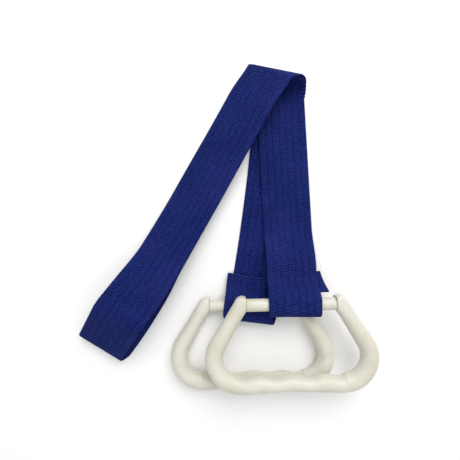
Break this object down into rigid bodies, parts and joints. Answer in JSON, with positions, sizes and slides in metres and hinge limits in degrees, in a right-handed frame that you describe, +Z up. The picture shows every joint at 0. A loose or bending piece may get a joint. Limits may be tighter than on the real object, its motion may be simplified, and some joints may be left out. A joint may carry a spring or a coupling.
{
  "type": "gait belt",
  "caption": "Webbing transfer strap, doubled and folded over, with a moulded hand grip on a crossbar looped into each end.",
  "frame": {"origin": "middle of the part's footprint, on the surface it lies on", "axes": "+Z up from that surface, +Y from the two grips towards the fold in the strap, +X to the side of the front grip"},
  "size_m": [0.2997, 0.3357, 0.04],
  "materials": {
    "webbing": "ribbed navy blue webbing",
    "thread": "matt sewing thread",
    "handle_plastic": "semi-gloss ivory white"
  },
  "bodies": {
    "strap": {"rear_hem": "webbing", "rear_bar_loop": "webbing", "rear_leg": "webbing", "outer_fold": "webbing", "inner_fold": "webbing", "front_leg": "webbing", "front_bar_loop": "webbing", "front_hem": "webbing", "rear_stitching": "thread", "front_stitching": "thread"},
    "folded_leg": {"outer_leg": "webbing", "loop_end": "webbing", "inner_leg": "webbing"},
    "rear_bar": {"rear_crossbar": "handle_plastic"},
    "front_bar": {"front_crossbar": "handle_plastic"},
    "rear_handle": {"rear_grip": "handle_plastic"},
    "front_handle": {"front_grip": "handle_plastic"}
  },
  "joints": [
    {"name": "top_fold", "type": "hinge", "parent": "strap", "child": "folded_leg", "pos_m": [0.04726, 0.16643, 0.00945], "axis": [-0.8551, 0.4838, -0.1867], "range_deg": [0, 170], "deforming": ["outer_fold", "inner_fold"]},
    {"name": "front_bar_slide", "type": "slide", "parent": "strap", "child": "front_bar", "axis": [0.9998, 0.0209, 0], "range_m": [-0.013, 0.0205]},
    {"name": "front_grip_swing", "type": "hinge", "parent": "front_bar", "child": "front_handle", "pos_m": [0.0636, -0.0762, 0.0274], "axis": [-0.9998, -0.0209, 0], "range_deg": [0, 150]},
    {"name": "rear_bar_slide", "type": "slide", "parent": "strap", "child": "rear_bar", "axis": [0.9998, 0.0209, 0], "range_m": [-0.0135, 0.0145]},
    {"name": "rear_grip_swing", "type": "hinge", "parent": "rear_bar", "child": "rear_handle", "pos_m": [0.027, -0.0813, 0.009], "axis": [-0.9998, -0.0209, 0], "range_deg": [-140, 0]}
  ]
}
